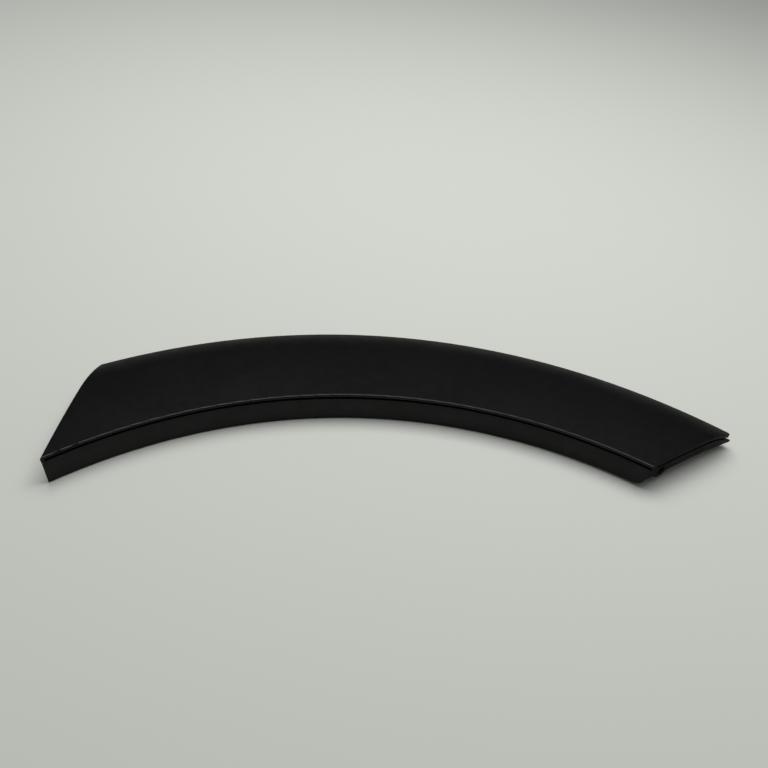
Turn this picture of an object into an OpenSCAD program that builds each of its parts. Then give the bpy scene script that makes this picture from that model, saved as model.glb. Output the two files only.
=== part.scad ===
// Wheel arch trim: one injection moulding in black grained plastic.
// It lies face up on the edge of its lip and on two locating pins, with the
// wheel opening towards -Y. Lengths are in millimetres, angles in degrees.

/* [Arch] */
// Radius of the wheel opening's edge, measured to the front of the bead
arch_r = 340; // [320:1:380]
// Angle of arc from the arch's top to the left end
left_span = 42; // [36:0.1:46]
// Angle of arc from the arch's top to the joint end on the right
right_span = 29.2; // [26:0.1:33]
// Direction of the left end's cut, counted from +X
left_cut_dir = 87.3; // [84:0.1:96]
// Direction of the joint end's cut, counted from +X
joint_cut_dir = 34; // [30:1:42]

/* [Face] */
// Width of the face, from the front of the bead to the skirt
face_w = 77.5; // [74:0.5:90]
// Wall of the face
face_t = 2.6; // [2:0.1:3]
// Rise of the face's crown above the bead
crown_rise = 1.1; // [0.6:0.1:2]
// Distance of the crown's highest line from the bead
crown_in = 29; // [24:1:36]
// Radius of the shoulder that rolls down to the skirt
shoulder_r = 60; // [50:1:90]
// Height of the outer edge below the bead
edge_drop = 8.4; // [6:0.2:9]
// Bevel where the shoulder meets the skirt
edge_bevel = 1; // [0.5:0.1:1.5]

/* [Lip] */
// Depth of the lip, from the top of the bead to its free edge
lip_depth = 20.5; // [20:0.1:24]
// Distance that the lip's free edge leans out towards the wheel
lip_lean = 2.4; // [1:0.2:4]
// Wall of the lip
lip_t = 2.6; // [2:0.1:3]
// Angle of arc from the arch's top at which the lip starts to get shallower
taper_from = 5; // [0:1:15]
// Height that the lip's free edge has gained at the joint
taper_rise = 2.6; // [1:0.1:3]
// Chamfer along the lip's free edge
lip_chamfer = 0.7; // [0.3:0.1:1]
// Radius of the bead along the wheel opening's edge
bead_r = 1.2; // [1:0.1:1.5]
// Height that the bead stands proud of the face
bead_proud = 0.15; // [0.1:0.05:0.3]
// Height of the shadow groove under the bead
groove_h = 1.3; // [1:0.1:1.6]
// Depth of the shadow groove, from the front of the bead
groove_d = 2.2; // [1.8:0.1:2.6]

/* [Skirt] */
// Height of the skirt's free edge above the lip's free edge
skirt_z = 5.1; // [4:0.1:6]
// Wall of the skirt
skirt_t = 2.2; // [1.6:0.1:2.6]

/* [Joint end] */
// Thickness of the closed end at the joint
joint_t = 5.4; // [4.6:0.2:7]
// Height of the joint ledge's underside, where the trim meets the body
seat_z = 8.7; // [8.3:0.1:9.4]
// Height of the slot between the face and the ledge
slot_h = 2; // [1.6:0.1:2.2]
// Depth of the slot, from the joint's cut
slot_d = 3; // [2:0.2:3.6]
// Distance of the joint socket from the bead line, along the joint's cut
socket_in = 12.2; // [11.6:0.1:14]
// Height of the socket's centre above the lip's free edge
socket_z = 11.5; // [11:0.1:12]
// Diameter of the boss round the socket
socket_d = 13.2; // [12:0.2:14]
// Bore of the socket
bore_d = 6.4; // [5:0.1:7]
// Depth of the socket's bore
bore_depth = 3.4; // [2.4:0.2:3.6]
// Radius of the face's outer corner at the joint
face_corner_r = 4; // [3:0.5:6]
// Radius of the lip's corner at the joint
lip_corner_r = 6; // [4:0.5:6]
// Length of the lip that the corner takes up
lip_corner_l = 7.2; // [6:0.2:9]

/* [Left end] */
// Wall of the left end
end_t = 2.4; // [2:0.1:3]
// Distance that the left end leans in, from the face to the lip's free edge
left_lean = 2.2; // [1:0.1:4]

/* [Clip towers] */
// Number of clip towers
tower_count = 4; // [3:1:5]
// Length of a clip tower, along the arch
tower_l = 20; // [18:1:24]
// Width of a clip tower, across the arch
tower_w = 17; // [16:1:20]
// Wall of a clip tower
tower_t = 1.8; // [1.4:0.1:2.2]
// Thickness of the plate that holds the clip
plate_t = 2.2; // [1.8:0.1:3]
// Diameter of the clip's hole
clip_d = 8; // [7:0.5:9]
// Width of the neck that the clip is pushed in through
neck_w = 4.8; // [4:0.2:5.2]
// Distance of the towers from the front of the bead
tower_in = 38; // [34:1:42]

/* [Ribs and pins] */
// Thickness of a stiffening rib
rib_t = 1.6; // [1.2:0.1:2]
// Height of the ribs' lower edge above the clip plates' underside
rib_up = 2.4; // [1:0.2:4]
// Diameter of a locating pin
pin_d = 6; // [5:0.2:7]
// Diameter of the boss that carries a locating pin
boss_d = 10; // [8:0.5:12]
// Length of the locating pin's tapered tip
pin_tip = 1.6; // [1:0.1:2.5]
// Distance of the locating pins from the front of the bead
pin_in = 56; // [52:1:60]

/* [Hidden] */
$fa = 1.5;
$fs = 0.6;

// Overrun of every cut, and how far joined walls reach into each other
over = 1;
sink = 0.8;
// Small step by which an arc passes the face it runs into
pass = 0.04;
// What the face gains in thickness over the joint's slot
slot_step = 0.2;
// Angle by which the sweep runs past the end cuts
sweep_past = 12;

// Radii of the section's main lines
skirt_r = arch_r + face_w;
web_r = arch_r + groove_d;
web_in_r = web_r + face_t;
foot_r = arch_r - lip_lean;

// Crown: a flat arc through the bead's top line
crown_r = (crown_in * crown_in + crown_rise * crown_rise) / (2 * crown_rise);
crown_c = [arch_r + crown_in, lip_depth + crown_rise - crown_r];

// Shoulder: an arc that leaves the crown smoothly and ends at the outer edge
edge_p = [skirt_r, lip_depth - edge_drop];
shoulder_c = meet(crown_c, crown_r - shoulder_r + pass, edge_p, shoulder_r);
shoulder_start = crown_c[0] + crown_r * unit(shoulder_c - crown_c)[0];

// Bead and groove
bead_c = [arch_r + bead_r, crown_z(arch_r + bead_r) - bead_r + bead_proud];
groove_z = bead_c[1] - bead_r - groove_h;

// The lip steps inwards behind the groove, between these two heights
step_z = groove_z - face_t;
knee_z = step_z - (web_in_r - arch_r - lip_t);

// Line inside the lip's wall, from which ribs and end walls start
core = [
    [arch_r + sink, knee_z],
    [web_r + sink, step_z],
    [web_r + sink, 2 * lip_depth],
];

// Heights of the joint's slot, whose top is parallel to the face
slot_top = face_t + slot_step;
notch_z = shoulder_c[1] - slot_h / 2
    + sqrt(pow(shoulder_r - slot_top, 2) - pow(skirt_r - shoulder_c[0], 2));

// Ends of the bead line, and the face's outer corner at the joint
left_p = polar(arch_r, 90 + left_span);
joint_p = polar(arch_r, 90 - right_span);
corner_p = on_cut(joint_p, joint_cut_dir, skirt_r);
left_tilt = atan2(left_lean, lip_depth);

// The lip's free edge rises from here to the joint
taper_x = foot_r * sin(taper_from);
taper_slope = taper_rise / (joint_p[0] - taper_x);

// The overall box, which the origin is centred under
x_low = on_left_end(arch_r + bead_r, bead_c[1] + bead_r)[0];
x_high = corner_p[0];
y_low = on_left_end(foot_r, lip_chamfer)[1];
y_high = skirt_r;

// Angles that the sweep and what lies under it are spread over
sweep_from = 90 - right_span - sweep_past;
sweep_to = 90 + left_span + sweep_past;
long = 2 * skirt_r;

function unit(v) = v / norm(v);
function polar(r, a) = [r * cos(a), r * sin(a)];
function heading(p) = atan2(p[1], p[0]);
// A direction turned by an angle
function beside(u, turn) = [u[0] * cos(turn) - u[1] * sin(turn), u[0] * sin(turn) + u[1] * cos(turn)];
// Where two circles meet, on the side of the larger radius
function meet(a, ra, b, rb) =
    let (d = norm(b - a), u = unit(b - a), s = (d * d + ra * ra - rb * rb) / (2 * d))
    a + s * u + sqrt(ra * ra - s * s) * [-u[1], u[0]];
// Where a cut through p in direction dir crosses the circle of radius r
function on_cut(p, dir, r) =
    let (u = polar(1, dir), b = p * u)
    p + (sqrt(b * b - p * p + r * r) - b) * u;
// Where the left end's surface crosses the circle of radius r at height z
function on_left_end(r, z) =
    let (in = left_lean * (1 - z / lip_depth))
    on_cut(left_p + in * polar(1, left_cut_dir - 90), left_cut_dir, r);
// Height of the crown above the lip's free edge
function crown_z(r) = crown_c[1] + sqrt(crown_r * crown_r - pow(r - crown_c[0], 2));

// Everything under the face, a given depth below its surface
module under_face(depth) {
    intersection() {
        translate(crown_c) circle(r = crown_r - depth);
        union() {
            translate(shoulder_c) circle(r = shoulder_r - depth);
            translate([arch_r - over, -lip_depth])
                square([shoulder_start - arch_r + over, 3 * lip_depth]);
        }
    }
}

// The room between the lip's web and the skirt, a given depth under the face
module hollow(depth) {
    intersection() {
        under_face(depth);
        translate([web_in_r, -over]) square([skirt_r - skirt_t - web_in_r, 2 * lip_depth]);
    }
}

// The lip, which steps inwards behind the shadow groove
module lip_section() {
    lean = lip_lean / groove_z;
    polygon([
        [foot_r + lip_chamfer, 0],
        [foot_r, lip_chamfer],
        [arch_r, groove_z],
        [web_r, groove_z],
        [web_r, bead_c[1]],
        [web_in_r + sink, bead_c[1]],
        [web_in_r, step_z],
        [arch_r + lip_t - lean * (groove_z - knee_z), knee_z],
        [foot_r + lip_t, 0],
    ]);
}

module face_section() {
    difference() {
        intersection() {
            under_face(0);
            polygon([
                [web_r, groove_z],
                [web_in_r + sink, skirt_z],
                [skirt_r, skirt_z],
                [skirt_r, edge_p[1] - edge_bevel],
                [skirt_r - edge_bevel, edge_p[1] + edge_bevel],
                [skirt_r - edge_bevel, 2 * lip_depth],
                [bead_c[0], 2 * lip_depth],
                [bead_c[0], bead_c[1]],
                [web_r, bead_c[1]],
            ]);
        }
        hollow(face_t);
    }
}

module trim_section() {
    face_section();
    lip_section();
    translate(bead_c) circle(r = bead_r);
}

// Sweeps a section along the arch
module sweep() {
    rotate_extrude(angle = sweep_to - sweep_from, start = sweep_from) children();
}

// Places its children at the left end's cut, with Y out of the trim
module at_left_cut() {
    translate([left_p[0], left_p[1], lip_depth])
        rotate(left_cut_dir)
            rotate([-left_tilt, 0, 0])
                children();
}

// Places its children at the joint's cut, with Y out of the trim
module at_joint_cut() {
    translate([joint_p[0], joint_p[1], lip_depth])
        rotate(joint_cut_dir + 180)
            children();
}

// A slab behind a cut, of given thickness
module behind_cut(thick) {
    translate([-long / 2, -thick, -2 * lip_depth])
        cube([long, thick + over, 3 * lip_depth]);
}

// All that lies beyond a cut
module beyond_cut() {
    translate([-long / 2, 0, -2 * lip_depth])
        cube([long, long, 3 * lip_depth]);
}

module shell() {
    sweep() trim_section();
}

// The left end is closed down to the lip's free edge and the skirt's
module left_end() {
    intersection() {
        at_left_cut() behind_cut(end_t);
        sweep() intersection() {
            under_face(sink);
            polygon(concat([[foot_r + lip_t / 2, lip_chamfer]], core, [
                [skirt_r - sink, 2 * lip_depth],
                [skirt_r - sink, skirt_z],
                [web_in_r + lip_depth - skirt_z, skirt_z],
                [web_in_r, lip_chamfer],
            ]));
        }
    }
}

// The joint end is closed by a thick wall, whose lower half is the ledge
module joint_end() {
    intersection() {
        at_joint_cut() behind_cut(joint_t);
        sweep() intersection() {
            under_face(sink);
            polygon(concat([[arch_r + sink, seat_z]], core, [
                [skirt_r - sink, 2 * lip_depth],
                [skirt_r - sink, skirt_z],
                [shoulder_start, seat_z],
            ]));
        }
    }
}

// Places its children at the socket's mouth, with Z into the trim
module at_socket() {
    at_joint_cut()
        translate([-socket_in, over, socket_z - lip_depth])
            rotate([90, 0, 0])
                children();
}

// The boss of the socket that locates the next piece of trim
module socket_boss() {
    at_socket() cylinder(d = socket_d, h = over + joint_t - sink);
}

module socket_bore() {
    at_socket() cylinder(d = bore_d, h = over + bore_depth);
}

// The slot between the face and the ledge
module joint_slot() {
    slot_from = web_in_r + slot_step;
    intersection() {
        at_joint_cut() behind_cut(slot_d);
        sweep() difference() {
            intersection() {
                under_face(slot_top);
                translate([slot_from, 0]) square([skirt_r - slot_from + over, 2 * lip_depth]);
            }
            translate([0, -slot_h]) under_face(slot_top);
        }
    }
}

// What a rounding takes away between two edges, given counterclockwise
module corner_waste(edges, radius) {
    half = acos(edges[0] * edges[1]) / 2;
    middle = unit(edges[0] + edges[1]);
    inner = (radius / sin(half) - pass) * middle;
    reach = radius / tan(half);
    difference() {
        polygon([
            -over * middle,
            reach * edges[0] + over * beside(edges[0], -90),
            inner,
            reach * edges[1] + over * beside(edges[1], 90),
        ]);
        translate(inner) circle(r = radius);
    }
}

// The face's outer corner is rounded at the joint, above the slot
module face_corner() {
    past = polar(skirt_r, heading(corner_p) + asin(face_corner_r / skirt_r));
    translate([corner_p[0], corner_p[1], notch_z])
        linear_extrude(lip_depth)
            corner_waste([unit(past - corner_p), -polar(1, joint_cut_dir)], face_corner_r);
}

// The lip gets shallower towards the joint
module lip_taper() {
    translate([taper_x, 0, 0])
        rotate([0, -atan(taper_slope), 0])
            translate([-over, 0, -lip_depth])
                cube([long, arch_r, lip_depth]);
}

// The lip's lower corner is rounded at the joint
module lip_corner() {
    reach = web_in_r - arch_r;
    centre_z = taper_rise - taper_slope * lip_corner_l * cos(right_span) + lip_corner_r - pass;
    translate([joint_p[0], joint_p[1], 0])
        rotate(-right_span)
            difference() {
                translate([-lip_corner_l, -2 * lip_depth, -over])
                    cube([2 * lip_corner_l, 2 * lip_depth + reach, over + centre_z]);
                translate([-lip_corner_l, -3 * lip_depth, centre_z])
                    rotate([-90, 0, 0])
                        cylinder(r = lip_corner_r, h = 4 * lip_depth);
            }
}

// Angle of tower number i, spread evenly between the ends
function tower_angle(i) = tower_from + tower_step * i;
tower_r = arch_r + tower_in;
tower_margin = asin((tower_l + tower_w) / tower_r);
tower_from = heading(on_cut(joint_p, joint_cut_dir, tower_r)) + tower_margin;
tower_to = heading(on_cut(left_p, left_cut_dir, tower_r)) - tower_margin;
tower_step = (tower_to - tower_from) / (tower_count - 1);
pin_r = arch_r + pin_in;
// Places of the ribs and of a pin between two towers, as shares of their step
rib_shares = [0.25, 0.75];
pin_share = 0.5;

module at_angle(r, a) {
    rotate(a - 90) translate([0, r, 0]) children();
}

// A clip tower: a box under the face, open on one side, with a keyhole in its plate
module clip_tower() {
    top = lip_depth + crown_rise - sink;
    difference() {
        translate([-tower_l / 2, -tower_w / 2, seat_z])
            cube([tower_l, tower_w, top - seat_z]);
        translate([-tower_l / 2 + tower_t, -tower_w / 2 + tower_t, seat_z + plate_t])
            cube([tower_l, tower_w - 2 * tower_t, lip_depth]);
        translate([0, 0, seat_z - over]) cylinder(d = clip_d, h = plate_t + 2 * over);
        translate([0, -neck_w / 2, seat_z - over])
            cube([tower_l, neck_w, plate_t + 2 * over]);
    }
}

// A locating pin stands on a boss that ends level with the clip plates
module locating_pin() {
    translate([0, 0, seat_z]) cylinder(d = boss_d, h = lip_depth - seat_z);
    translate([0, 0, pin_tip]) cylinder(d = pin_d, h = seat_z - pin_tip + sink);
    cylinder(d1 = pin_d - pin_tip, d2 = pin_d, h = pin_tip);
}

// A rib spans the hollow from the lip to the skirt
module rib() {
    rib_z = seat_z + rib_up;
    rotate([90, 0, 0])
        linear_extrude(rib_t, center = true)
            intersection() {
                under_face(face_t - sink);
                polygon(concat([[arch_r + sink, rib_z]], core, [
                    [skirt_r - sink, 2 * lip_depth],
                    [skirt_r - sink, rib_z],
                ]));
            }
}

module ribs() {
    for (i = [0:tower_count - 2], share = rib_shares)
        rotate(tower_angle(i + share)) rib();
}

// Towers and pins end inside the face's wall
module towers_and_pins() {
    intersection() {
        union() {
            for (i = [0:tower_count - 1]) at_angle(tower_r, tower_angle(i)) clip_tower();
            for (i = [0, tower_count - 2])
                at_angle(pin_r, tower_angle(i + pin_share)) locating_pin();
        }
        sweep() under_face(sink);
    }
}

module arch_trim() {
    color([0.1, 0.1, 0.1])
        translate([-(x_low + x_high) / 2, -(y_low + y_high) / 2, 0])
            difference() {
                union() {
                    shell();
                    left_end();
                    joint_end();
                    ribs();
                    towers_and_pins();
                    socket_boss();
                }
                at_left_cut() beyond_cut();
                at_joint_cut() beyond_cut();
                joint_slot();
                socket_bore();
                face_corner();
                lip_taper();
                lip_corner();
            }
}

arch_trim();
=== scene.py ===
# %% [markdown]
# # Wheel arch trim
# This is a strip of car body trim: one injection moulding in black plastic that follows a wheel opening. It
# lies face up on a pale table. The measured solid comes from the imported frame, so the work here is its
# finish: edges rounded as a mould leaves them, the etched grain of the face, the plainer hidden side, and a
# light that shows all three.

# %% Load the frame
from math import atan2, cos, degrees, hypot, pi, radians, sin

import bpy
from mathutils import Euler, Matrix, Vector


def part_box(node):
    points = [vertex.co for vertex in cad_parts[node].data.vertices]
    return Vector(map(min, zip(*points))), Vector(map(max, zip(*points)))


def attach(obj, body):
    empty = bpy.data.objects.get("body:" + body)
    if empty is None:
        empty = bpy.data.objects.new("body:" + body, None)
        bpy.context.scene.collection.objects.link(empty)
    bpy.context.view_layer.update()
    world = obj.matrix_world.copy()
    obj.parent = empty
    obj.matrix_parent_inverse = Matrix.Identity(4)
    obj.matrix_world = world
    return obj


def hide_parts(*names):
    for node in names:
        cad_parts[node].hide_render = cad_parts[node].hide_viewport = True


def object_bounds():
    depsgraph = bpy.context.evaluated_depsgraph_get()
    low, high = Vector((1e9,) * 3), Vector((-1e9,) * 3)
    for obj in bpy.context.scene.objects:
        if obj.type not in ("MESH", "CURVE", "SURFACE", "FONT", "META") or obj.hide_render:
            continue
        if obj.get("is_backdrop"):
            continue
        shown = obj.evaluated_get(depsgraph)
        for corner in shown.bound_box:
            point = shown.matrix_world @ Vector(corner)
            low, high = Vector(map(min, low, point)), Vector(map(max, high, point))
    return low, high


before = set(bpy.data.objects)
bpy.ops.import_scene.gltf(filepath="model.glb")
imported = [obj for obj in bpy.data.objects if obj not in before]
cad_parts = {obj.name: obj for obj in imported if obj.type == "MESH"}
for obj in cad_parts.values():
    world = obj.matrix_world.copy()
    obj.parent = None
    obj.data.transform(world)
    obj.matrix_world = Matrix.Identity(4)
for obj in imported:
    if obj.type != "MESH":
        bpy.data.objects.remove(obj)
cad_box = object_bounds()
MM = 0.001
trim_low, trim_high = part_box("arch_trim")
print("trim size in mm:", [round(side / MM, 1) for side in trim_high - trim_low])

# %% [markdown]
# The camera comes first, because every later choice is judged through it. The photograph was taken from about
# 0.6 m away, 43 degrees above the table, with the camera rolled a little. The lens is given by how many pixels
# a length equal to the distance would span, which turns into millimetres on a 36 mm wide sensor.

# %% Camera
PHOTO_SIDE = 768
FOCAL_PX = 795
SENSOR_MM = 36
CAMERA_DISTANCE = 601.5 * MM
CAMERA_TILT = radians(42.68)
CAMERA_TURN = radians(-1.02)
CAMERA_ROLL = radians(6.31)
AIM = Vector((-21.88 * MM, 40.91 * MM, -0.31 * MM))


def add_camera():
    """Aims a camera at the point of the table that the photograph's middle shows."""
    round_z = Matrix.Rotation(CAMERA_TURN, 3, "Z")
    away = round_z @ Vector((0, -cos(CAMERA_TILT), sin(CAMERA_TILT)))
    bpy.ops.object.camera_add(location=AIM + CAMERA_DISTANCE * away)
    camera = bpy.context.object
    camera.name = "photo_camera"
    tilted = Euler((pi / 2 - CAMERA_TILT, 0, 0)).to_matrix()
    camera.rotation_euler = (round_z @ tilted @ Matrix.Rotation(CAMERA_ROLL, 3, "Z")).to_euler()
    camera.data.sensor_width = SENSOR_MM
    camera.data.lens = SENSOR_MM * FOCAL_PX / PHOTO_SIDE
    camera.data.clip_start = 10 * MM
    bpy.context.scene.camera = camera
    return camera


camera = add_camera()
print("camera at", [round(c, 3) for c in camera.location], "lens", round(camera.data.lens, 2), "mm")

# %% [markdown]
# The trim follows a circle round the wheel, so places on it are easiest to name as a distance from that
# circle's centre and an angle. These few sizes are the solid's own. From them comes how deep a point lies
# under the outer skin, which tells the side that shows from the side that hides.

# %% Places round the wheel
ARC_CENTRE = Vector((-4.3855 * MM, -334.398 * MM, 0))
ARCH_R = 340 * MM
FACE_WIDTH = 77.5 * MM
LIP_DEPTH = 20.5 * MM
LIP_LEAN = 2.4 * MM
LEFT_SPAN, LEFT_CUT = radians(42), radians(87.3)
RIGHT_SPAN, RIGHT_CUT = radians(29.2), radians(34)
LEFT_LEAN = 2.2 * MM
BEAD_CENTRE = (341.2 * MM, 19.54 * MM)
BEAD_R = 1.2 * MM
CROWN_CENTRE = (369 * MM, -361.18 * MM)
CROWN_R = 382.78 * MM


def from_arc_centre(point):
    """Distance from the wheel's centre and angle of a point of the trim."""
    x, y = point.x - ARC_CENTRE.x, point.y - ARC_CENTRE.y
    return hypot(x, y), atan2(y, x)


def past_cut(point, span_angle, cut_angle):
    """How far a point lies to the left of the slanted line at one end, seen along that line from the wheel."""
    start = ARC_CENTRE + ARCH_R * Vector((cos(span_angle), sin(span_angle), 0))
    along = Vector((cos(cut_angle), sin(cut_angle), 0))
    return along.cross(point - start).z


print("trim's middle:", [round(c, 3) for c in from_arc_centre(Vector((0, 0, 0)))])

# %% [markdown]
# A mould never leaves a knife edge: every rim of the real trim is rounded by a few tenths of a millimetre, and
# that is where the light catches. The solid's own mesh is left as it is. A copy is joined into one skin, its
# flat areas are merged, and a bevel rounds its sharp edges. Rounding them in the mesh, and not by a trick in
# the material, also rounds the outline and is kept when the model is exported.

# %% Softened moulding
EDGE_ROUND = 0.3 * MM
EDGE_ANGLE = radians(45)
SMOOTH_ANGLE = radians(28)
WELD = 0.002 * MM
FLAT_ANGLE = radians(0.05)


def select_only(piece):
    bpy.ops.object.select_all(action="DESELECT")
    piece.select_set(True)
    bpy.context.view_layer.objects.active = piece


def soften(node):
    """Returns a welded copy of a node with its sharp edges rounded."""
    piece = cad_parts[node].copy()
    piece.data = piece.data.copy()
    piece.parent = None
    for key in list(piece.keys()):
        del piece[key]
    piece.name = "moulding"
    bpy.context.scene.collection.objects.link(piece)
    select_only(piece)
    bpy.ops.object.mode_set(mode="EDIT")
    bpy.ops.mesh.select_all(action="SELECT")
    bpy.ops.mesh.customdata_custom_splitnormals_clear()
    bpy.ops.mesh.remove_doubles(threshold=WELD)
    bpy.ops.mesh.dissolve_limited(angle_limit=FLAT_ANGLE)
    bpy.ops.object.mode_set(mode="OBJECT")
    bevel = piece.modifiers.new("edge round", "BEVEL")
    bevel.width = EDGE_ROUND
    bevel.segments = 3
    bevel.limit_method = "ANGLE"
    bevel.angle_limit = EDGE_ANGLE
    bevel.miter_outer = "MITER_ARC"
    bpy.ops.object.modifier_apply(modifier=bevel.name)
    bpy.ops.object.shade_smooth_by_angle(angle=SMOOTH_ANGLE)
    return piece


moulding = soften("arch_trim")
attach(moulding, "root")
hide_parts("arch_trim")
print("moulding:", len(moulding.data.polygons), "faces")

# %% [markdown]
# The round bead is only 2.4 mm thick, and the solid's mesh steps along it every 11 mm. Blender guesses the
# shading from those long thin faces, which makes a string of dashes. The true shape is known: the bead and the
# crowned face are both arcs in the section. So each corner of their faces is told which way the real surface
# faces, straight out from its arc's centre. The shape stays as it is, and the line between the two is crisp.

# %% True shading of bead and face
ARC_SLACK = 0.02 * MM


def off_arc(point, centre, arc_radius):
    """How far a point's place in the section lies off an arc."""
    return abs(hypot(from_arc_centre(point)[0] - centre[0], point.z - centre[1]) - arc_radius)


def outward(point, centre):
    """The direction straight out from an arc's centre in the section through a point."""
    radius, angle = from_arc_centre(point)
    rise = Vector((0, 0, point.z - centre[1]))
    return ((radius - centre[0]) * Vector((cos(angle), sin(angle), 0)) + rise).normalized()


def arc_of(piece, face):
    """The centre of the arc that a face lies on, or None."""
    corners = [piece.data.vertices[i].co for i in face.vertices]
    for centre, arc_radius in ((BEAD_CENTRE, BEAD_R), (CROWN_CENTRE, CROWN_R)):
        on_it = all(off_arc(corner, centre, arc_radius) < ARC_SLACK for corner in corners)
        if on_it and face.normal.dot(outward(face.center, centre)) > 0.8:
            return centre
    return None


def true_shading(piece):
    """Sets the shading directions of the faces on known arcs, and leaves the rest to Blender."""
    directions = [(0, 0, 0)] * len(piece.data.loops)
    told = 0
    for face in piece.data.polygons:
        centre = arc_of(piece, face)
        if centre:
            told += 1
            for corner in face.loop_indices:
                place = piece.data.vertices[piece.data.loops[corner].vertex_index].co
                directions[corner] = outward(place, centre)
    piece.data.normals_split_custom_set(directions)
    return told


print("faces with known shading:", true_shading(moulding), "of", len(moulding.data.polygons))

# %% [markdown]
# The dark groove under the bead doesn't run out through the left end. A thin wall of plastic closes it there,
# so the end's outline stays straight. On the real part it is the mould's steel that stops short. Here it is a
# small block, drawn from a cube whose corners are put on the leaning end, the lip and the bead, and rounded.

# %% Closed end of the groove
STOP_LENGTH = 1.9 * MM
STOP_LOW, STOP_HIGH = 16.95 * MM, 19.3 * MM
STOP_FRONT = (339.62 * MM, 340.03 * MM)
STOP_BACK = 342.4 * MM
STOP_ROUND = 0.22 * MM


def on_left_end(radius, height):
    """The point of the leaning left end at a distance from the wheel's centre and a height."""
    span = pi / 2 + LEFT_SPAN
    start = ARCH_R * Vector((cos(span), sin(span), 0))
    into = Vector((cos(LEFT_CUT - pi / 2), sin(LEFT_CUT - pi / 2), 0))
    start += (LEFT_LEAN * (1 - height / LIP_DEPTH) + 0.03 * MM) * into
    line = Vector((cos(LEFT_CUT), sin(LEFT_CUT), 0))
    reach = start.dot(line)
    step = (reach * reach - start.length_squared + radius * radius) ** 0.5 - reach
    return ARC_CENTRE + start + step * line + Vector((0, 0, height))


def add_groove_stop():
    """A cube whose corners are moved on to the end, then rounded."""
    bpy.ops.object.select_all(action="DESELECT")
    bpy.ops.mesh.primitive_cube_add(size=2)
    stop = bpy.context.object
    stop.name = "groove_stop"
    for vertex in stop.data.vertices:
        front, low, inside = vertex.co.y < 0, vertex.co.z < 0, vertex.co.x > 0
        height = STOP_LOW if low else STOP_HIGH
        radius = STOP_FRONT[0 if low else 1] if front else STOP_BACK
        place = on_left_end(radius, height)
        angle = from_arc_centre(place)[1]
        if inside:
            place += STOP_LENGTH * Vector((sin(angle), -cos(angle), 0))
        vertex.co = place
    bpy.ops.object.mode_set(mode="EDIT")
    bpy.ops.mesh.select_all(action="SELECT")
    bpy.ops.mesh.normals_make_consistent(inside=False)
    bpy.ops.mesh.bevel(offset=STOP_ROUND, segments=3)
    bpy.ops.object.mode_set(mode="OBJECT")
    bpy.ops.object.shade_smooth_by_angle(angle=SMOOTH_ANGLE)
    return stop


groove_stop = add_groove_stop()
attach(groove_stop, "root")
print("groove stop at", [round(c / MM, 1) for c in groove_stop.data.vertices[0].co])

# %% [markdown]
# The plastic is black polypropylene, coloured all through. The half of the mould that forms the face was
# etched, so the face has a fine pebble grain that scatters light and looks matt. The other half was only
# milled and ground, so the hidden side is plainer and a little shinier. Both finishes are the same plastic
# and share a start. With the smooth lip and bead they are four materials on one mesh, because the lines
# between them run along edges.

# %% Plastic to start from
PLASTIC_SPECULAR = 0.22
ETCHED_SPECULAR = 0.034


def add_node(tree, kind, inputs=(), **settings):
    """Adds a shader node, sets its properties, and fills or links its inputs by name or number."""
    node = tree.nodes.new(kind)
    for name, value in settings.items():
        setattr(node, name, value)
    for socket, value in dict(inputs).items():
        if isinstance(value, bpy.types.NodeSocket):
            tree.links.new(value, node.inputs[socket])
        else:
            node.inputs[socket].default_value = value
    return node


def calculate(tree, operation, first, second=0.0, third=0.0):
    """One step of arithmetic on sockets or numbers."""
    return add_node(tree, "ShaderNodeMath", {0: first, 1: second, 2: third}, operation=operation).outputs[0]


def between(tree, value, low, high, to_low=0.0, to_high=1.0, smooth=True):
    """Turns the range low..high of a value into another range, and holds it outside."""
    kind = "SMOOTHSTEP" if smooth else "LINEAR"
    inputs = {"Value": value, "From Min": low, "From Max": high, "To Min": to_low, "To Max": to_high}
    return add_node(tree, "ShaderNodeMapRange", inputs, interpolation_type=kind).outputs["Result"]


def noise(tree, place, size, detail=2.0, roughness=0.5):
    """Soft random values whose blotches are about the given size."""
    inputs = {"Vector": place, "Scale": 1 / size, "Detail": detail, "Roughness": roughness}
    return add_node(tree, "ShaderNodeTexNoise", inputs).outputs["Fac"]


def start_plastic(name):
    """A plastic whose even values sit on the shader itself, and its place on the object."""
    material = bpy.data.materials.new(name)
    material.use_nodes = True
    tree = material.node_tree
    shader = tree.nodes["Principled BSDF"]
    shader.inputs["Specular IOR Level"].default_value = PLASTIC_SPECULAR
    place = add_node(tree, "ShaderNodeTexCoord").outputs["Object"]
    return material, tree, shader, place


def round_the_wheel(tree, place):
    """Distance from the wheel's centre, distance along the arch, and height, as three values."""
    shift = {"Vector": place, "Location": -ARC_CENTRE}
    flat = {"Vector": place, "Location": -ARC_CENTRE, "Scale": (1, 1, 0)}
    centred = add_node(tree, "ShaderNodeMapping", shift).outputs[0]
    flattened = add_node(tree, "ShaderNodeMapping", flat).outputs[0]
    radius = add_node(tree, "ShaderNodeVectorMath", {0: flattened}, operation="LENGTH").outputs["Value"]
    axes = add_node(tree, "ShaderNodeSeparateXYZ", {0: centred}).outputs
    along = calculate(tree, "MULTIPLY", calculate(tree, "ARCTAN2", axes["Y"], axes["X"]), ARCH_R)
    return radius, along, axes["Z"]


# %% [markdown]
# The etched grain is a carpet of rounded pebbles, about 0.45 mm wide and a hundredth or two of a millimetre
# high, with finer tooth on top. A Voronoi pattern gives pebbles that touch, and a noise breaks up their
# regularity. Larger, fainter blotches in tone and roughness are what handling and the flow of the plastic
# leave. Light that falls between the pebbles is mostly swallowed there, so the face gives back much less of it
# than bare plastic would.

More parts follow.
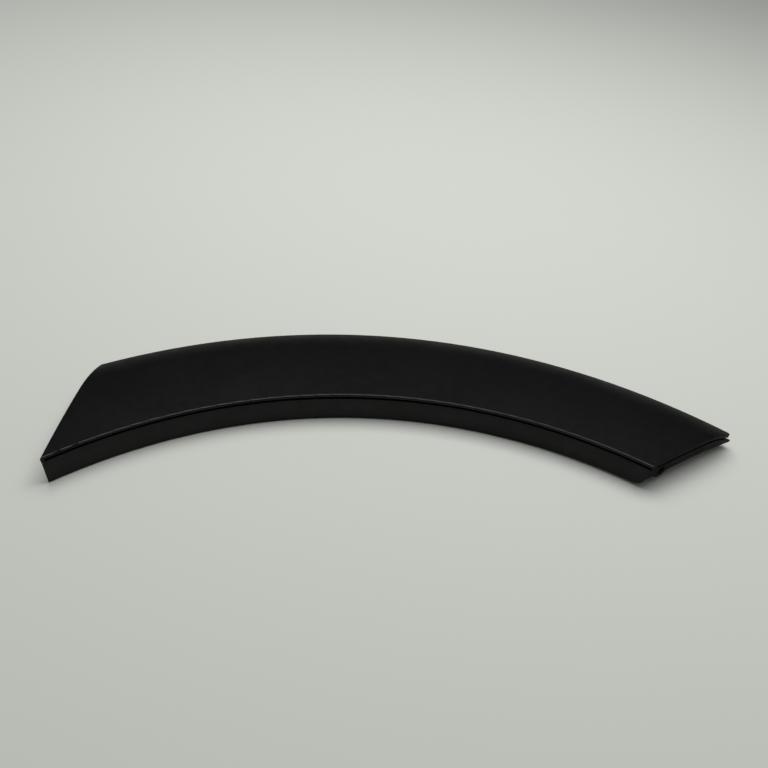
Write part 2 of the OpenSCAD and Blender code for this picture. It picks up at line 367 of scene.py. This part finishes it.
# %% Etched face
TONE_LOW, TONE_HIGH = 0.0022, 0.0034
GRAIN_SIZE = 0.45 * MM
GRAIN_HEIGHT = 0.015 * MM


def etched_plastic():
    material, tree, shader, place = start_plastic("etched_black_plastic")
    shader.inputs["Specular IOR Level"].default_value = ETCHED_SPECULAR
    blotches = noise(tree, place, 45 * MM, detail=4, roughness=0.6)
    clouds = noise(tree, place, 7 * MM, detail=3)
    tooth = noise(tree, place, 0.16 * MM, detail=1)
    mottle = calculate(tree, "MULTIPLY_ADD", clouds, 0.5, calculate(tree, "MULTIPLY", blotches, 0.5))
    tone = between(tree, mottle, 0.36, 0.64, TONE_LOW, TONE_HIGH)
    tree.links.new(tone, shader.inputs["Base Color"])
    tree.links.new(between(tree, mottle, 0.36, 0.64, 0.5, 0.43), shader.inputs["Roughness"])
    pebble_inputs = {"Vector": place, "Scale": 1 / GRAIN_SIZE, "Smoothness": 0.4}
    pebbles = add_node(tree, "ShaderNodeTexVoronoi", pebble_inputs, feature="SMOOTH_F1").outputs["Distance"]
    grain = calculate(tree, "MULTIPLY_ADD", tooth, 0.4, calculate(tree, "MULTIPLY", pebbles, -0.8))
    bump = add_node(tree, "ShaderNodeBump", {"Height": grain, "Distance": GRAIN_HEIGHT, "Strength": 1.0})
    tree.links.new(bump.outputs["Normal"], shader.inputs["Normal"])
    return material


# %% [markdown]
# The lip and the bead along the wheel side were left out of the etching, because those parts of the mould are
# too steep and too narrow to etch evenly. They are smoother than the face, and the bead draws a thin bright
# line above the dark groove. Rubbing leaves fine scratches that run along them.

# %% Smooth lip and bead
SCRATCH_STRETCH = 0.02
SCRATCH_DEPTH = 0.004 * MM


def smooth_plastic(name, gloss, low_rough, high_rough):
    """Unetched plastic that gives back the given share of light, between two values of roughness."""
    material, tree, shader, place = start_plastic(name)
    shader.inputs["Specular IOR Level"].default_value = gloss
    radius, along, height = round_the_wheel(tree, place)
    rubbed = noise(tree, place, 12 * MM, detail=3)
    tree.links.new(between(tree, rubbed, 0.35, 0.65, TONE_LOW, TONE_HIGH), shader.inputs["Base Color"])
    tree.links.new(between(tree, rubbed, 0.35, 0.65, high_rough, low_rough), shader.inputs["Roughness"])
    drawn_out = calculate(tree, "MULTIPLY", along, SCRATCH_STRETCH)
    lane = add_node(tree, "ShaderNodeCombineXYZ", {"X": drawn_out, "Y": radius, "Z": height})
    scratches = noise(tree, lane.outputs[0], 0.2 * MM, detail=2)
    bump = add_node(tree, "ShaderNodeBump", {"Height": scratches, "Distance": SCRATCH_DEPTH, "Strength": 1.0})
    tree.links.new(bump.outputs["Normal"], shader.inputs["Normal"])
    return material


# %% [markdown]
# The hidden side shows how the part was made. Cutter paths run along the arch as fine lines, and the pins
# that pushed the part out of its mould left shallow round marks at even steps. Rings are drawn by measuring
# how far a point lies from the nearest mark's centre, in the same round-the-wheel places as the solid.

# %% Plain hidden side
MARK_STEP = 46 * MM
MARK_R = 4 * MM
MARK_ROWS = (361 * MM, 396 * MM)
MARK_DEPTH = 0.12 * MM
PATH_WIDTH = 1.1 * MM


def ejector_marks(tree, radius, along):
    """1 inside each round mark and 0 outside it."""
    aside = calculate(tree, "PINGPONG", along, MARK_STEP / 2)
    rows = [calculate(tree, "ABSOLUTE", calculate(tree, "SUBTRACT", radius, row)) for row in MARK_ROWS]
    across = calculate(tree, "MINIMUM", *rows)
    squares = calculate(tree, "MULTIPLY_ADD", aside, aside, calculate(tree, "MULTIPLY", across, across))
    return between(tree, calculate(tree, "SQRT", squares), 0.95 * MARK_R, MARK_R, 1.0, 0.0)


def plain_plastic():
    material, tree, shader, place = start_plastic("plain_black_plastic")
    radius, along = round_the_wheel(tree, place)[:2]
    blotches = noise(tree, place, 30 * MM, detail=4, roughness=0.6)
    tree.links.new(between(tree, blotches, 0.35, 0.65, TONE_LOW, TONE_HIGH), shader.inputs["Base Color"])
    tree.links.new(between(tree, blotches, 0.35, 0.65, 0.5, 0.42), shader.inputs["Roughness"])
    lane = calculate(tree, "MULTIPLY", radius, 2 * pi / PATH_WIDTH)
    paths = calculate(tree, "SINE", lane)
    haze = noise(tree, place, 0.3 * MM, detail=1)
    lines = calculate(tree, "MULTIPLY_ADD", paths, 0.04, calculate(tree, "MULTIPLY", haze, 0.1))
    marks = calculate(tree, "MULTIPLY", ejector_marks(tree, radius, along), -1.0)
    depth = calculate(tree, "ADD", marks, lines)
    bump = add_node(tree, "ShaderNodeBump", {"Height": depth, "Distance": MARK_DEPTH, "Strength": 1.0})
    tree.links.new(bump.outputs["Normal"], shader.inputs["Normal"])
    return material


# %% [markdown]
# Each face of the mesh takes the finish of its place. A face belongs to the etched side if it lies on the
# outline of the section, or on one of the two cut ends. The walls are over 2 mm thick, so a limit of about
# 1 mm under the skin parts the two sides safely.

# %% Share out the finishes
SKIN = 1.1 * MM


def measure_roof(piece):
    """The section's upper outline: distance and height of its corners, from a line stretched over the top."""
    outline = []
    places = [(from_arc_centre(v.co), v.co.z) for v in piece.data.vertices]
    for x, z in sorted((radius, z) for (radius, angle), z in places if abs(angle - pi / 2) < radians(20)):
        while len(outline) > 1:
            (x0, z0), (x1, z1) = outline[-2:]
            if (x1 - x0) * (z - z0) < (z1 - z0) * (x - x0):
                break
            outline.pop()
        outline.append((x, z))
    return outline


def roof_height(radius):
    """Height of the face at a distance from the wheel's centre."""
    for (x0, z0), (x1, z1) in zip(roof_outline, roof_outline[1:]):
        if x0 <= radius <= x1 and x1 > x0:
            return z0 + (z1 - z0) * (radius - x0) / (x1 - x0)
    return 0


def is_outer(face):
    """True where the etched half of the mould formed a face."""
    centre = face.center
    radius, angle = from_arc_centre(centre)
    lip_front = ARCH_R - LIP_LEAN * (1 - centre.z / LIP_DEPTH)
    depths = [
        roof_height(radius) - centre.z,
        radius - lip_front,
        ARCH_R + FACE_WIDTH - radius,
        past_cut(centre, pi / 2 - RIGHT_SPAN, RIGHT_CUT),
        -past_cut(centre, pi / 2 + LEFT_SPAN, LEFT_CUT),
    ]
    return min(depths) < SKIN


def is_bead(face):
    """True on the round bead along the wheel side."""
    return off_arc(face.center, BEAD_CENTRE, 0) < 1.1 * BEAD_R


def is_lip_front(face):
    """True on the side of the lip that faces the wheel."""
    radius, angle = from_arc_centre(face.center)
    lip_front = ARCH_R - LIP_LEAN * (1 - face.center.z / LIP_DEPTH)
    return radius - lip_front < 0.6 * MM and face.center.z < BEAD_CENTRE[1] - BEAD_R


roof_outline = measure_roof(moulding)
moulding.data.materials.clear()
moulding.data.materials.append(etched_plastic())
moulding.data.materials.append(plain_plastic())
moulding.data.materials.append(smooth_plastic("smooth_bead_plastic", 0.24, 0.3, 0.38))
moulding.data.materials.append(smooth_plastic("smooth_lip_plastic", PLASTIC_SPECULAR, 0.42, 0.5))
for face in moulding.data.polygons:
    face.material_index = 2 if is_bead(face) else 3 if is_lip_front(face) else 0 if is_outer(face) else 1
groove_stop.data.materials.append(moulding.data.materials[3])
shares = [sum(f.material_index == i for f in moulding.data.polygons) for i in range(4)]
print("outline over the top in mm:", [(round(x / MM), round(z / MM, 1)) for x, z in roof_outline[::4]])
print("etched, plain, bead and lip faces:", shares)

# %% [markdown]
# The table is a plain pale board, far larger than the view. Its tone is the photograph's. One large flat
# square is enough, because only its top is seen.

# %% Table
TABLE_TONE = (0.545, 0.567, 0.52)


def add_table():
    bpy.ops.mesh.primitive_plane_add(size=6, location=(0, 0, 0))
    table = bpy.context.object
    table.name = "table"
    material = bpy.data.materials.new("pale_board")
    material.use_nodes = True
    shader = material.node_tree.nodes["Principled BSDF"]
    shader.inputs["Base Color"].default_value = (*TABLE_TONE, 1)
    shader.inputs["Roughness"].default_value = 0.8
    shader.inputs["Specular IOR Level"].default_value = 0.2
    table.data.materials.append(material)
    table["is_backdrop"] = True
    return table


add_table()

# %% [markdown]
# The light is one large soft panel, as a ceiling light or a sheet of daylight would be. It hangs a little
# behind the trim, so the lip that faces the camera throws a soft dark band in front of it, and the face
# doesn't mirror the panel. The room round it is dim, with a brighter ceiling, and its walls look pale to the
# camera and in reflections.

# %% Light
PANEL_PLACE = Vector((0.04, 0.43, 1.05))
PANEL_LENGTH, PANEL_WIDTH = 1.3, 0.73
PANEL_POWER = 13.6
ROOM_LOW, ROOM_HIGH = 0.11, 0.6
CEILING_FROM, CEILING_FULL = 0.6, 0.97
WALL_SEEN = 0.25


def add_light():
    bpy.ops.object.light_add(type="AREA", location=PANEL_PLACE)
    panel = bpy.context.object
    panel.name = "soft_panel"
    panel.rotation_euler = PANEL_PLACE.to_track_quat("Z", "Y").to_euler()
    panel.data.shape = "RECTANGLE"
    panel.data.size, panel.data.size_y = PANEL_LENGTH, PANEL_WIDTH
    panel.data.energy = PANEL_POWER
    room = bpy.data.worlds.new("room")
    room.use_nodes = True
    tree = room.node_tree
    towards = add_node(tree, "ShaderNodeTexCoord").outputs["Generated"]
    up = add_node(tree, "ShaderNodeSeparateXYZ", {0: towards}).outputs["Z"]
    tree.nodes["Background"].inputs["Color"].default_value = (1, 1, 1, 1)
    given = between(tree, up, CEILING_FROM, CEILING_FULL, ROOM_LOW, ROOM_HIGH)
    ray = add_node(tree, "ShaderNodeLightPath").outputs
    looked_at = calculate(tree, "MAXIMUM", ray["Is Camera Ray"], ray["Is Glossy Ray"])
    looked_at = calculate(tree, "MAXIMUM", looked_at, ray["Is Transmission Ray"])
    seen = calculate(tree, "MULTIPLY", looked_at, WALL_SEEN)
    tree.links.new(calculate(tree, "MAXIMUM", given, seen), tree.nodes["Background"].inputs["Strength"])
    bpy.context.scene.world = room
    return panel


panel = add_light()
bpy.context.scene.view_settings.view_transform = "Standard"
print("panel tilted", round(degrees(panel.rotation_euler.x), 1), "degrees")

# %% [markdown]
# The visual model must not be larger than the solid, because the two stand for the same part. Both boxes are
# printed.

# %% Measure and finish
visual_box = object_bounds()
sizes = {"cad": [list(corner) for corner in cad_box], "visual": [list(corner) for corner in visual_box]}
for name, box in sizes.items():
    print(name, "box in mm:", [[round(c / MM, 2) for c in corner] for corner in box])
